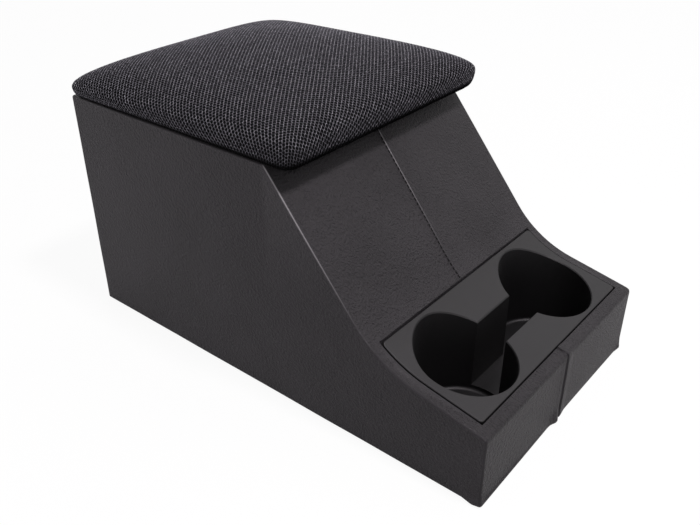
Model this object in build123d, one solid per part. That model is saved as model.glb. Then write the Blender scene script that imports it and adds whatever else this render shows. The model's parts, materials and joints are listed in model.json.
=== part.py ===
from build123d import *
import os
from math import cos, radians, sin, sqrt, tan

# Centre armrest box: a covered plywood carcass with a cup tray in its low front end and a padded,
# hinged lid. Millimetres, +Z up. The front faces -Y, and the origin is the middle of the base.

# Covered box
WIDTH = 240.0
LENGTH = 426.0
HEIGHT = 208.0
FRONT_HEIGHT = 63.5
DECK_PITCH = 11.25
SLOPE_PITCH = 50.1
SLOPE_FOOT = 76.2
BEND_RADIUS = 98.0
EDGE_RADIUS = 2.0

# Boards, covering and lining
BOARD = 8.0
LEATHERCLOTH = 0.9
TURN_IN = 20.0
HEM = 18.0
HEM_EASE = 0.5
LINING = 3.0
LINING_DROP = 0.3

# Cup tray
TRAY_REAR = 97.4
TRAY_SIDE_GAP = 1.0
TRAY_REAR_GAP = 1.2
TRAY_PROUD = 0.8
TRAY_WALL = 2.5
TRAY_SKIRT = 13.0
TRAY_CORNER = 3.0
TRAY_EDGE = 1.0
CUP_DIAMETER = 79.0
CUP_SIDE_MARGIN = 7.4
CUP_CENTRE = 53.8
CUP_DRAFT = 1.0
CUP_HEEL = 3.0
CHANNEL_WIDTH = 25.5
CHANNEL_RISE = 4.8
LIP_CHAMFER = 0.8

# Lid
LID_REACH = 28.2
LID_SIDE_OVERHANG = 3.1
LID_REAR_INSET = 1.8
LID_GAP = 0.3
LID_BOARD = 12.0
LID_BOARD_CORNER = 14.0
LID_BOARD_EASE = 1.5
MESH = 2.5
FOAM_EASE = 0.2
PAD_UNDERCUT = 4.8
PAD_WIDEST = 11.5
PAD_CROWN = 30.4
PAD_FULLNESS = 0.93
PAD_CORNER = 9.6
PAD_ROUNDNESS = 1.86
PAD_CORNER_FLAT = 1.0
PAD_TILT = 1.4
LID_LINING = 3.0
LID_LINING_EASE = 4.2
LID_LINING_FIT = 0.5
LID_LINING_CORNER = 6.0

# Hinge
HINGE_LENGTH = 210.0
KNUCKLES = 15
KNUCKLE_GAP = 0.2
LEAF = 1.2
LEAF_WIDTH = 24.0
PIN_DIAMETER = 3.0
PIN_CLEARANCE = 0.06
HINGE_STANDOFF = 0.3
LEAF_RELIEF = 0.4
HINGE_SCREWS = 5
HINGE_SCREW_MARGIN = 15.0
HINGE_SCREW_INSET = 6.0

# Fasteners
SCREW_DIAMETER = 3.5
SCREW_HEAD = 7.0
SCREW_HEAD_DEPTH = 2.0
SCREW_LENGTH = 30.0
SCREW_TIP = 3.0
SCREW_MARGIN = 30.0
SCREW_SINK = 0.5
RECESS_WIDTH = 0.9
RECESS_DEPTH = 1.2
FASTENER_CLEARANCE = 0.1
STAPLE_CROWN = 10.0
STAPLE_LEG = 6.5
STAPLE_WIRE = 0.7
STAPLE_PITCH = 38.0

# Bolts into the vehicle floor
BOLT_HOLE = 7.0
BOLT_SPACING_X = 150.0
BOLT_SPACING_Y = 220.0

# Planes that several pieces share
FRONT_Y = -LENGTH / 2
REAR_Y = LENGTH / 2
WALL = LEATHERCLOTH + BOARD
INNER_X = WIDTH / 2 - WALL
FRONT_INNER = FRONT_Y + WALL
REAR_INNER = REAR_Y - WALL
BASE_TOP = LEATHERCLOTH + BOARD
SLOPE_TOP_Y = FRONT_Y + SLOPE_FOOT + (HEIGHT - FRONT_HEIGHT) / tan(radians(SLOPE_PITCH))
FOOT_Y = FRONT_Y + TRAY_REAR + TRAY_REAR_GAP + LEATHERCLOTH
DIVIDER_REAR = FOOT_Y + BOARD
TRAY_HALF_WIDTH = INNER_X - LEATHERCLOTH - TRAY_SIDE_GAP
CUP_SPACING = 2 * (TRAY_HALF_WIDTH - CUP_SIDE_MARGIN) - CUP_DIAMETER
FLOOR_TOP = BASE_TOP + LINING
LINING_TOP = HEIGHT - TURN_IN - LINING_DROP
STORAGE_MIDDLE = (DIVIDER_REAR + REAR_INNER) / 2
LID_BASE = HEIGHT + LID_GAP
LID_BOARD_BASE = LID_BASE + MESH
KNUCKLE_RADIUS = PIN_DIAMETER / 2 + PIN_CLEARANCE + LEAF
HINGE_Y = REAR_Y + HINGE_STANDOFF + KNUCKLE_RADIUS
HINGE_Z = LID_BOARD_BASE - HINGE_STANDOFF - KNUCKLE_RADIUS
PAD_FRONT = SLOPE_TOP_Y - LID_REACH
PAD_REAR = REAR_Y - LID_REAR_INSET
PAD_MIDDLE = (PAD_FRONT + PAD_REAR) / 2
PAD_HALF_LENGTH = (PAD_REAR - PAD_FRONT) / 2
PAD_HALF_WIDTH = WIDTH / 2 + LID_SIDE_OVERHANG
OVER = LENGTH
TOUCH = 0.01


def block(x, y, z):
    """Box between three (low, high) pairs."""
    pairs = (x, y, z)
    size = [high - low for low, high in pairs]
    middle = [(low + high) / 2 for low, high in pairs]
    return Pos(*middle) * Box(*size)


def across(half_width):
    """The (low, high) pair of a span centred on the middle plane."""
    return (-half_width, half_width)


def spread(low, high, count):
    """Evenly spaced values from low to high."""
    step = (high - low) / (count - 1)
    return [low + step * index for index in range(count)]


# The ramp: deck, bend and slope


def deck_z(y, inset=0.0):
    """Height of the deck line at y, set in square to itself."""
    return FRONT_HEIGHT + (y - FRONT_Y) * tan(radians(DECK_PITCH)) - inset / cos(radians(DECK_PITCH))


def slope_y(z, inset=0.0):
    """Place of the slope line at height z, set in square to itself."""
    return SLOPE_TOP_Y + (z - HEIGHT + inset / cos(radians(SLOPE_PITCH))) / tan(radians(SLOPE_PITCH))


def bend_y(inset):
    """Where the set-in deck and slope lines would meet."""
    deck_rise = tan(radians(DECK_PITCH))
    slope_rise = tan(radians(SLOPE_PITCH))
    deck_at_zero = deck_z(0.0, inset)
    slope_at_zero = HEIGHT - slope_y(HEIGHT, inset) * slope_rise
    return (deck_at_zero - slope_at_zero) / (slope_rise - deck_rise)


def bend_start(inset):
    """Where the set-in deck runs into the bend."""
    tangent = (BEND_RADIUS + inset) * tan(radians(SLOPE_PITCH - DECK_PITCH) / 2)
    return bend_y(inset) - tangent * cos(radians(DECK_PITCH))


def ramp_z(y, inset):
    """Height of the set-in ramp at y, on the deck or the bend."""
    start = bend_start(inset)
    if y <= start:
        return deck_z(y, inset)
    radius = BEND_RADIUS + inset
    centre_y = start - radius * sin(radians(DECK_PITCH))
    centre_z = deck_z(start, inset) + radius * cos(radians(DECK_PITCH))
    return centre_z - sqrt(radius**2 - (y - centre_y) ** 2)


def under_ramp(inset, half_width, front=FRONT_Y, rear=REAR_Y, bottom=0.0, top=HEIGHT):
    """Solid under the ramp, with the ramp set in and the other walls where given."""
    corner_y = bend_y(inset)
    corner = (corner_y, deck_z(corner_y, inset))
    outline = Polygon(
        (front, bottom),
        (front, deck_z(front, inset)),
        corner,
        (slope_y(top, inset), top),
        (rear, top),
        (rear, bottom),
        align=None,
    )
    bend = outline.vertices().sort_by_distance((corner[0], corner[1], 0))[0]
    side = fillet(bend, BEND_RADIUS + inset)
    return extrude(Plane.YZ * side, amount=half_width, both=True)


def rounded_block(inset):
    """The whole box without its openings, all its outer edges rounded."""
    solid = under_ramp(
        inset,
        WIDTH / 2 - inset,
        FRONT_Y + inset,
        REAR_Y - inset,
        inset,
        HEIGHT - inset,
    )
    bend = solid.faces().filter_by(GeomType.CYLINDER)[0]
    smooth = bend.edges().filter_by(Axis.X)
    sharp = [edge for edge in solid.edges() if edge not in smooth]
    return fillet(sharp, EDGE_RADIUS - inset)


def ramp_solid(inset, half_width):
    """Everything under the set-in ramp, run out past the box on every other side."""
    return under_ramp(inset, half_width, FRONT_Y - WALL, REAR_Y + OVER, -OVER, HEIGHT + WALL)


def storage_space(inset, top=HEIGHT + WALL):
    """The space under the lid, set in from the boards."""
    under_slope = ramp_solid(WALL + inset, INNER_X - inset)
    walls = block(
        across(INNER_X - inset),
        (DIVIDER_REAR + inset, REAR_INNER - inset),
        (BASE_TOP + inset, top),
    )
    return under_slope & walls


def tray_space(inset):
    """The space for the tray, set in from the boards."""
    return block(across(INNER_X - inset), (FRONT_INNER + inset, FOOT_Y - inset), (BASE_TOP, HEIGHT))


# Fasteners


def screw(length, clearance=0.0):
    """Countersunk screw with its head at the origin, pointing down."""
    head = SCREW_HEAD / 2 + clearance
    shank = SCREW_DIAMETER / 2 + clearance
    half = Polygon(
        (0, 0),
        (head, 0),
        (shank, -SCREW_HEAD_DEPTH),
        (shank, SCREW_TIP - length),
        (0, -length - clearance),
        align=None,
    )
    return revolve(Plane.XZ * half, Axis.Z)


def recessed_screw(length):
    """The same screw with a cross recess, where its head shows."""
    bar = block(across(SCREW_HEAD / 3), across(RECESS_WIDTH / 2), across(RECESS_DEPTH))
    return screw(length) - bar - Rot(Z=90) * bar


def screw_hole(length):
    """Room for a screw, open above its head."""
    mouth = Cylinder(SCREW_HEAD / 2 + FASTENER_CLEARANCE, 2 * SCREW_SINK)
    return screw(length, FASTENER_CLEARANCE) + Pos(0, 0, SCREW_SINK) * mouth


def placed(places, shape):
    """One copy of a shape at each place."""
    return [place * shape for place in places]


def carcass_screw_places():
    """Heads in the side boards, level with the edge of each board that they hold."""
    base_z = BASE_TOP - BOARD / 2
    rear_y = REAR_INNER + BOARD / 2
    slope_low = (SLOPE_TOP_Y + DIVIDER_REAR) / 2
    points = [(y, base_z) for y in spread(FRONT_INNER + SCREW_MARGIN, REAR_INNER - SCREW_MARGIN, 4)]
    points += [(rear_y, z) for z in spread(BASE_TOP + SCREW_MARGIN, HEIGHT - SCREW_MARGIN, 3)]
    points += [(FRONT_INNER - BOARD / 2, FRONT_HEIGHT / 2)]
    points += [(FOOT_Y + BOARD / 2, BASE_TOP + SCREW_MARGIN)]
    for y in (slope_low, SLOPE_TOP_Y - SCREW_MARGIN / 2):
        middle = LEATHERCLOTH + BOARD / 2
        z = HEIGHT + (y - slope_y(HEIGHT, middle)) * tan(radians(SLOPE_PITCH))
        points.append((y, z))
    head_x = WIDTH / 2 - LEATHERCLOTH - SCREW_SINK
    left = [Pos(-head_x, y, z) * Rot(Y=-90) for y, z in points]
    right = [Pos(head_x, y, z) * Rot(Y=90) for y, z in points]
    return left + right


def hinge_screw_xs():
    edge = HINGE_LENGTH / 2 - HINGE_SCREW_MARGIN
    return spread(-edge, edge, HINGE_SCREWS)


LOWER_SCREW_LENGTH = LEAF + LEATHERCLOTH + BOARD * 0.8
UPPER_SCREW_LENGTH = LEAF + LID_BOARD * 0.75
LINING_SCREW_LENGTH = LID_LINING + LID_BOARD * 0.6
LEAF_SCREW_OFFSET = KNUCKLE_RADIUS + LEAF_WIDTH - HINGE_SCREW_INSET


def lower_screw_places():
    return [Pos(x, REAR_Y + LEAF, HINGE_Z - LEAF_SCREW_OFFSET) * Rot(X=-90) for x in hinge_screw_xs()]


def upper_screw_places():
    head_z = LID_BOARD_BASE - LEAF
    return [Pos(x, HINGE_Y - LEAF_SCREW_OFFSET, head_z) * Rot(X=180) for x in hinge_screw_xs()]


# Carcass


def bolt_holes():
    """Four clearance holes through the floor of the storage space."""
    hole = Cylinder(BOLT_HOLE / 2, OVER)
    xs = across(BOLT_SPACING_X / 2)
    ys = (STORAGE_MIDDLE - BOLT_SPACING_Y / 2, STORAGE_MIDDLE + BOLT_SPACING_Y / 2)
    return [Pos(x, y, 0) * hole for x in xs for y in ys]


def make_carcass():
    """The seven boards, cut for their screws."""
    whole = rounded_block(LEATHERCLOTH)
    inside = across(INNER_X)
    everywhere = across(OVER)
    below_slope = ramp_solid(WALL, OVER)
    base = block(inside, (FRONT_INNER, REAR_INNER), (LEATHERCLOTH, BASE_TOP)) - bolt_holes()
    divider = below_slope & block(inside, (FOOT_Y, DIVIDER_REAR), (BASE_TOP, HEIGHT))
    boards = {
        "base_panel": base,
        "left_side_panel": whole & block((-OVER, -INNER_X), everywhere, everywhere),
        "right_side_panel": whole & block((INNER_X, OVER), everywhere, everywhere),
        "rear_panel": whole & block(inside, (REAR_INNER, OVER), everywhere),
        "front_panel": whole & block(inside, (-OVER, FRONT_INNER), everywhere),
        "slope_panel": (whole & block(inside, (FOOT_Y, REAR_INNER), everywhere)) - below_slope,
        "divider_panel": divider,
    }
    holes = placed(carcass_screw_places(), screw_hole(SCREW_LENGTH))
    boards = {name: board - holes for name, board in boards.items()}
    boards["rear_panel"] -= placed(lower_screw_places(), screw_hole(LOWER_SCREW_LENGTH))
    boards["carcass_screws"] = Compound(placed(carcass_screw_places(), screw(SCREW_LENGTH)))
    return boards


# Covering and lining


def make_covers():
    """Left and right halves of the leathercloth, which meet at the centre seam."""
    margin = block(across(WIDTH / 2 - HEM), across(LENGTH / 2 - HEM), across(LEATHERCLOTH))
    skin = rounded_block(0.0) - rounded_block(LEATHERCLOTH) - margin
    skin -= storage_space(LEATHERCLOTH)
    skin -= tray_space(LEATHERCLOTH)
    rim = storage_space(0.0, HEIGHT) - storage_space(LEATHERCLOTH)
    rim &= block(across(OVER), across(OVER), (HEIGHT - TURN_IN, HEIGHT))
    deck_band = ramp_solid(0.0, OVER) - ramp_solid(TURN_IN, OVER)
    mouth = (tray_space(0.0) - tray_space(LEATHERCLOTH)) & deck_band
    skin = skin + rim + mouth
    skin -= placed(lower_screw_places(), screw_hole(LOWER_SCREW_LENGTH))
    return {
        "left_cover": skin & block((-OVER, 0), across(OVER), across(OVER)),
        "right_cover": skin & block((0, OVER), across(OVER), across(OVER)),
    }


def make_base_cloth():
    """Cloth that closes the underside, level with the turned-under margin."""
    x = WIDTH / 2 - HEM - HEM_EASE
    y = LENGTH / 2 - HEM - HEM_EASE
    return block(across(x), across(y), (0, LEATHERCLOTH)) - bolt_holes()


def make_linings():
    """Carpet on the floor, walls and slope of the storage space."""
    space = storage_space(0.0)
    height = (FLOOR_TOP, LINING_TOP)
    between = across(INNER_X - LINING)
    floor = block(across(INNER_X), (DIVIDER_REAR, REAR_INNER), (BASE_TOP, FLOOR_TOP))
    front = (space - storage_space(LINING)) & block(between, (DIVIDER_REAR, REAR_INNER - 2 * LINING), height)
    return {
        "floor_lining": floor - bolt_holes(),
        "left_lining": space & block((-INNER_X, LINING - INNER_X), across(OVER), height),
        "right_lining": space & block((INNER_X - LINING, INNER_X), across(OVER), height),
        "rear_lining": block(between, (REAR_INNER - LINING, REAR_INNER), height),
        "front_lining": front,
    }


# Cup tray


def wells(wall):
    """The dumb-bell well: two tapered cups and the channel between them, grown by a wall."""
    cup_y = FRONT_Y + CUP_CENTRE
    floor = BASE_TOP + TRAY_WALL - wall
    mouth = deck_z(cup_y)
    height = mouth + CUP_DIAMETER - floor
    taper = tan(radians(CUP_DRAFT))
    low = CUP_DIAMETER / 2 + wall - (mouth - floor) * taper
    cup = Cone(low, low + height * taper, height, align=(Align.CENTER, Align.CENTER, Align.MIN))
    cup = fillet(cup.edges().sort_by(Axis.Z)[0], CUP_HEEL + wall)
    shape = block(
        across(CUP_SPACING / 2),
        (cup_y - CHANNEL_WIDTH / 2 - wall, cup_y + CHANNEL_WIDTH / 2 + wall),
        (floor + CHANNEL_RISE, floor + height),
    )
    for side, turn in ((-1, 0), (1, 180)):
        shape += Pos(side * CUP_SPACING / 2, cup_y, floor) * Rot(Z=turn) * cup
    return shape


def make_tray():
    """One moulding: a plate on the deck's line with a skirt, and wells that stand on the base."""
    front = FRONT_INNER + LEATHERCLOTH + TRAY_SIDE_GAP
    rear = FRONT_Y + TRAY_REAR
    plan = Pos(0, (front + rear) / 2) * RectangleRounded(2 * TRAY_HALF_WIDTH, rear - front, TRAY_CORNER)
    column = extrude(plan, amount=HEIGHT)
    hollow = extrude(offset(plan, -TRAY_WALL), amount=HEIGHT)
    top = ramp_solid(-TRAY_PROUD, OVER)
    underside = ramp_solid(TRAY_WALL - TRAY_PROUD, OVER)
    skirt_end = ramp_solid(TRAY_SKIRT, OVER)
    plate = (column & top) - (hollow & underside) - skirt_end
    plate = fillet(tray_rims(plate, 0.0), TRAY_EDGE)
    tray = plate + (wells(TRAY_WALL) & underside) - wells(0.0)
    return chamfer(tray_rims(tray, TRAY_CORNER), LIP_CHAMFER)


def tray_rims(tray, margin):
    """Edges of the tray's top in from its outline, apart from the smooth line at the bend."""
    box = tray.bounding_box()
    start = bend_start(-TRAY_PROUD)
    rims = []
    for edge in tray.edges():
        points = edge.positions([0.0, 0.5, 1.0])
        on_top = all(abs(point.Z - ramp_z(point.Y, -TRAY_PROUD)) < TOUCH for point in points)
        smooth = all(abs(point.Y - start) < TOUCH for point in points)
        middle = points[1]
        aside = min(middle.X - box.min.X, box.max.X - middle.X)
        along = min(middle.Y - box.min.Y, box.max.Y - middle.Y)
        if on_top and not smooth and min(aside, along) > margin - TOUCH:
            rims.append(edge)
    return rims


# Lid


def pad_section(inset, z, corner, tilt):
    """Rounded rectangle of the pad, set in from its widest outline."""
    width = 2 * (PAD_HALF_WIDTH - inset)
    length = 2 * (PAD_HALF_LENGTH - inset)
    corner = min(corner, min(width, length) / 2 - PAD_CORNER_FLAT)
    return Pos(0, PAD_MIDDLE, z) * Rot(X=-tilt) * RectangleRounded(width, length, corner)


def pad_form(skin, base):
    """Crowned pad above a base height, set in by a skin: it rolls under at its foot."""
    widest = HEIGHT + PAD_WIDEST
    sections = []
    for angle in (0, 30, 60):
        inset = PAD_UNDERCUT * (1 - sin(radians(angle)))
        rise = 1 - cos(radians(angle))
        z = base + (widest - base) * rise
        sections.append(pad_section(inset + skin, z, PAD_CORNER, PAD_TILT * rise))
    for angle in (0, 14, 28, 42, 56, 68, 80):
        left = cos(radians(angle)) ** PAD_FULLNESS
        inset = PAD_HALF_WIDTH * (1 - left)
        corner = left * (PAD_CORNER + PAD_ROUNDNESS * inset)
        z = widest + (PAD_CROWN - skin) * sin(radians(angle))
        sections.append(pad_section(inset + skin, z, corner, PAD_TILT))
    return loft(sections, ruled=True)


def lid_lining_plan(grow):
    """Outline of the lid's lining, inside the rim of the box."""
    half_width = INNER_X - LEATHERCLOTH - LID_LINING_EASE + grow
    front = slope_y(HEIGHT, WALL + LEATHERCLOTH) + LID_LINING_EASE - grow
    rear = HINGE_Y - LEAF_WIDTH - KNUCKLE_RADIUS - LID_LINING_EASE + grow
    return Pos(0, (front + rear) / 2) * RectangleRounded(2 * half_width, rear - front, LID_LINING_CORNER)


def lining_screw_places():
    box = lid_lining_plan(-2 * LID_LINING_CORNER).bounding_box()
    head_z = LID_BOARD_BASE - LID_LINING
    ys = (box.min.Y, box.center().Y, box.max.Y)
    return [Pos(x, y, head_z) * Rot(X=180) for x in (box.min.X, box.max.X) for y in ys]


def staple(clearance=0.0):
    """Staple with its crown below the origin and its legs up."""
    half = STAPLE_CROWN / 2 + clearance
    wire = STAPLE_WIRE / 2 + clearance
    shape = block(across(half), across(wire), (-STAPLE_WIRE, 0))
    for side in (-1, 1):
        leg = block(across(wire), across(wire), (-STAPLE_WIRE, STAPLE_LEG + clearance))
        shape += Pos(side * (half - wire), 0, 0) * leg
    return shape


def staple_places():
    """A row along each side of the lining and along its front."""
    box = lid_lining_plan(LID_LINING_EASE / 2).bounding_box()
    side_count = int((box.size.Y - 2 * STAPLE_CROWN) / STAPLE_PITCH) + 1
    front_count = int((box.size.X - 2 * STAPLE_CROWN) / STAPLE_PITCH) + 1
    ys = spread(box.min.Y + STAPLE_CROWN, box.max.Y - STAPLE_CROWN, side_count)
    xs = spread(box.min.X + STAPLE_CROWN, box.max.X - STAPLE_CROWN, front_count)
    sides = [Pos(x, y, LID_BASE) * Rot(Z=90) for x in (box.min.X, box.max.X) for y in ys]
    return sides + [Pos(x, box.min.Y, LID_BASE) for x in xs]


def make_lid():
    """Board, foam, mesh cover and lining of the lid."""
    board_inset = PAD_UNDERCUT + MESH + LID_BOARD_EASE
    board_plan = RectangleRounded(
        2 * (PAD_HALF_WIDTH - board_inset),
        2 * (PAD_HALF_LENGTH - board_inset),
        LID_BOARD_CORNER,
    )
    board = extrude(Pos(0, PAD_MIDDLE, LID_BOARD_BASE) * board_plan, amount=LID_BOARD)
    foam = pad_form(MESH + FOAM_EASE, LID_BOARD_BASE) - board
    below = across(LID_BOARD_BASE)
    leaf_notch = block(
        across(HINGE_LENGTH / 2 + LEAF_RELIEF),
        (HINGE_Y - LEAF_WIDTH - KNUCKLE_RADIUS, OVER),
        below,
    )
    cover = pad_form(0.0, LID_BASE) - pad_form(MESH, LID_BOARD_BASE)
    cover -= extrude(lid_lining_plan(LID_LINING_FIT), amount=LID_BOARD_BASE)
    cover -= leaf_notch
    lining_base = LID_BOARD_BASE - LID_LINING
    lining = extrude(Pos(0, 0, lining_base) * lid_lining_plan(0.0), amount=LID_LINING)
    lining_holes = placed(lining_screw_places(), screw_hole(LINING_SCREW_LENGTH))
    leaf_holes = placed(upper_screw_places(), screw_hole(UPPER_SCREW_LENGTH))
    staple_slots = placed(staple_places(), staple(FASTENER_CLEARANCE))
    return {
        "lid_board": board - lining_holes - leaf_holes - staple_slots,
        "lid_foam": foam,
        "lid_cover": cover - staple_slots,
        "lid_lining": lining - lining_holes,
        "lid_lining_screws": Compound(placed(lining_screw_places(), recessed_screw(LINING_SCREW_LENGTH))),
        "lid_cover_staples": Compound(placed(staple_places(), staple())),
    }


# Hinge


def hinge_leaf(first):
    """Leaf below the pin with every second knuckle, its back on the -Y side, pin along X."""
    pitch = HINGE_LENGTH / KNUCKLES
    back = -KNUCKLE_RADIUS - HINGE_STANDOFF
    plate_top = -KNUCKLE_RADIUS - LEAF_RELIEF
    bottom = -KNUCKLE_RADIUS - LEAF_WIDTH
    leaf = block(across(HINGE_LENGTH / 2), (back, back + LEAF), (bottom, plate_top))
    half = (pitch - KNUCKLE_GAP) / 2
    for index in range(first, KNUCKLES, 2):
        middle = (index + 0.5) * pitch - HINGE_LENGTH / 2
        barrel = Rot(Y=90) * Cylinder(KNUCKLE_RADIUS, 2 * half)
        tab = block(across(half), (back, back + LEAF), (plate_top, 0))
        leaf += Pos(middle, 0, 0) * (barrel + tab)
    return leaf - Rot(Y=90) * Cylinder(PIN_DIAMETER / 2 + PIN_CLEARANCE, OVER)


def make_hinge():
    """Both leaves, the pin and the screws. The upper leaf lies under the lid's board."""
    axis = Pos(0, HINGE_Y, HINGE_Z)
    lower_holes = placed(lower_screw_places(), screw_hole(LOWER_SCREW_LENGTH))
    upper_holes = placed(upper_screw_places(), screw_hole(UPPER_SCREW_LENGTH))
    upper = axis * Rot(X=-90) * hinge_leaf(1)
    return {
        "hinge_lower_leaf": axis * hinge_leaf(0) - lower_holes,
        "hinge_upper_leaf": upper - upper_holes,
        "hinge_pin": axis * Rot(Y=90) * Cylinder(PIN_DIAMETER / 2, HINGE_LENGTH),
        "hinge_lower_screws": Compound(placed(lower_screw_places(), recessed_screw(LOWER_SCREW_LENGTH))),
        "hinge_upper_screws": Compound(placed(upper_screw_places(), recessed_screw(UPPER_SCREW_LENGTH))),
    }


def main():
    nodes = make_carcass()
    nodes.update(make_covers())
    nodes["base_cloth"] = make_base_cloth()
    nodes.update(make_linings())
    nodes["cup_holder_tray"] = make_tray()
    nodes.update(make_lid())
    nodes.update(make_hinge())
    os.makedirs("parts", exist_ok=True)
    for name, shape in nodes.items():
        export_step(shape, f"parts/{name}.step")


main()
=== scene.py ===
import json
import math

import bmesh
import bpy
import numpy as np
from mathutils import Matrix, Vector


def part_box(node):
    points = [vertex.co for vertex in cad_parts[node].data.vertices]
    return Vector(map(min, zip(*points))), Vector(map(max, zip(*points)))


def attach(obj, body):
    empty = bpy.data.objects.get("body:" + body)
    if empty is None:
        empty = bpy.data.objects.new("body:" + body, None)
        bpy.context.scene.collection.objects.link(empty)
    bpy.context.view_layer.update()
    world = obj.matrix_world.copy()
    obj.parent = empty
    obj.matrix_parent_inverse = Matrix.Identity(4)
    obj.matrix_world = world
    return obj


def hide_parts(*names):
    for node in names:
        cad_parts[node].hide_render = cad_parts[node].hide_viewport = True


# Metres, in the frame of the part: the front faces -Y, +Z is up, the base stands on Z = 0.
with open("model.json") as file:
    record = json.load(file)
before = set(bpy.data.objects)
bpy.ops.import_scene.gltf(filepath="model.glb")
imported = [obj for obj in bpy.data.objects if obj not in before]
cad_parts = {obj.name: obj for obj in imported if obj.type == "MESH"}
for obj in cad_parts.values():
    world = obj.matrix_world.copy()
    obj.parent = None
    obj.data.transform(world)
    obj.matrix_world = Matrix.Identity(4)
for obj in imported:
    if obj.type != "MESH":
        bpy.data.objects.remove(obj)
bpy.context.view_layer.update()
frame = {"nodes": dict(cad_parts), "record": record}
MM = 0.001


# Materials


class Shader:
    """A material with its nodes, coordinates in metres."""

    def __init__(self, name, **sockets):
        self.material = bpy.data.materials.new(name)
        self.material.use_nodes = True
        self.tree = self.material.node_tree
        self.surface = self.tree.nodes["Principled BSDF"]
        self.coordinates = self.tree.nodes.new("ShaderNodeTexCoord").outputs["Object"]
        self.fill(self.surface, sockets)

    def plug(self, value, socket):
        """Links an output to a socket, or writes a plain value there."""
        if isinstance(value, bpy.types.NodeSocket):
            self.tree.links.new(value, socket)
        else:
            socket.default_value = value

    def fill(self, node, sockets):
        for name, value in sockets.items():
            self.plug(value, node.inputs[name.replace("_", " ")])

    def node(self, kind, settings=None, **sockets):
        node = self.tree.nodes.new(kind)
        for name, value in (settings or {}).items():
            setattr(node, name, value)
        self.fill(node, sockets)
        return node

    def stretched(self, scale):
        """The coordinates scaled by axis."""
        node = self.node("ShaderNodeMapping", Vector=self.coordinates, Scale=scale)
        return node.outputs["Vector"]

    def noise(self, scale, detail=4.0, vector=None, roughness=0.5):
        node = self.node(
            "ShaderNodeTexNoise",
            Vector=vector or self.coordinates,
            Scale=scale,
            Detail=detail,
            Roughness=roughness,
        )
        return node.outputs["Fac"]

    def cells(self, scale, feature="F1", vector=None, randomness=1.0):
        node = self.node(
            "ShaderNodeTexVoronoi",
            {"feature": feature},
            Vector=vector or self.coordinates,
            Scale=scale,
            Randomness=randomness,
        )
        return node.outputs["Distance"]

    def stored(self, name):
        """A value that the mesh holds at its vertices or faces."""
        return self.node("ShaderNodeAttribute", {"attribute_name": name}).outputs["Fac"]

    def math(self, operation, first, second):
        node = self.node("ShaderNodeMath", {"operation": operation})
        self.plug(first, node.inputs[0])
        self.plug(second, node.inputs[1])
        return node.outputs["Value"]

    def span(self, value, low, high, out_low, out_high):
        """A value from one range carried over to another."""
        node = self.node(
            "ShaderNodeMapRange",
            Value=value,
            From_Min=low,
            From_Max=high,
            To_Min=out_low,
            To_Max=out_high,
        )
        return node.outputs["Result"]

    def ramp(self, value, stops):
        node = self.node("ShaderNodeValToRGB", Fac=value)
        elements = node.color_ramp.elements
        while len(elements) < len(stops):
            elements.new(0.5)
        for element, (position, colour) in zip(elements, stops):
            element.position = position
            element.color = (*colour, 1.0)
        return node.outputs["Color"]

    def relief(self, *layers, strength=1.0):
        """Bump layers, each a height value and its depth in metres."""
        normal = None
        for height, depth in layers:
            node = self.node("ShaderNodeBump", Height=height, Distance=depth, Strength=strength)
            if normal:
                self.tree.links.new(normal, node.inputs["Normal"])
            normal = node.outputs["Normal"]
        self.tree.links.new(normal, self.surface.inputs["Normal"])

    def paint(self, name, output):
        self.tree.links.new(output, self.surface.inputs[name])


# Pale colour mixed in as a painted highlight along the slope's side edges
PAINTED_HIGHLIGHT_VINYL = (0.36, 0.345, 0.36, 1.0)


def leathercloth(name, dark, light, grain):
    """Satin vinyl with a fine pebbled grain, smoother along its edges, and with a pale painted
    highlight along the slope's side edges.
    """
    shader = Shader(name, Specular_IOR_Level=0.13, Specular_Tint=(1.0, 0.955, 1.0, 1.0))
    cloud = shader.noise(16.0, 5.0)
    fine = shader.noise(900.0, 3.0)
    pebbles = shader.cells(1000.0, "SMOOTH_F1")
    creases = shader.noise(650.0, 5.0, roughness=0.65)
    wrinkled = shader.stretched((1.0, 0.7, 0.7))
    tone = shader.math("ADD", cloud, shader.math("MULTIPLY", fine, 0.5))
    even = shader.ramp(tone, [(0.45, dark), (0.95, light)])
    # Painted highlight: the colour is mixed towards a pale grey where the mesh marks the slope's
    # side edges
    painted_highlight_share = shader.stored("painted_highlight")
    painted_highlight = shader.node("ShaderNodeMixRGB", Fac=painted_highlight_share, Color1=even, Color2=PAINTED_HIGHLIGHT_VINYL)
    shader.paint("Base Color", painted_highlight.outputs["Color"])
    rubbed = shader.math("MULTIPLY", shader.stored("edge"), 0.24)
    satin = shader.span(cloud, 0.3, 0.7, 0.4, 0.47)
    shader.paint("Roughness", shader.math("SUBTRACT", satin, rubbed))
    shader.relief(
        (shader.noise(30.0, 3.0), 0.0008),
        (shader.noise(400.0, 3.0, roughness=0.6), 0.00028 * grain),
        (pebbles, 0.0002 * grain),
        (creases, 0.00028 * grain),
        (shader.cells(760.0, "SMOOTH_F1", wrinkled), 0.0003 * grain),
        strength=shader.span(shader.stored("edge"), 0.0, 1.0, 1.0, 0.08),
    )
    return shader.material


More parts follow.
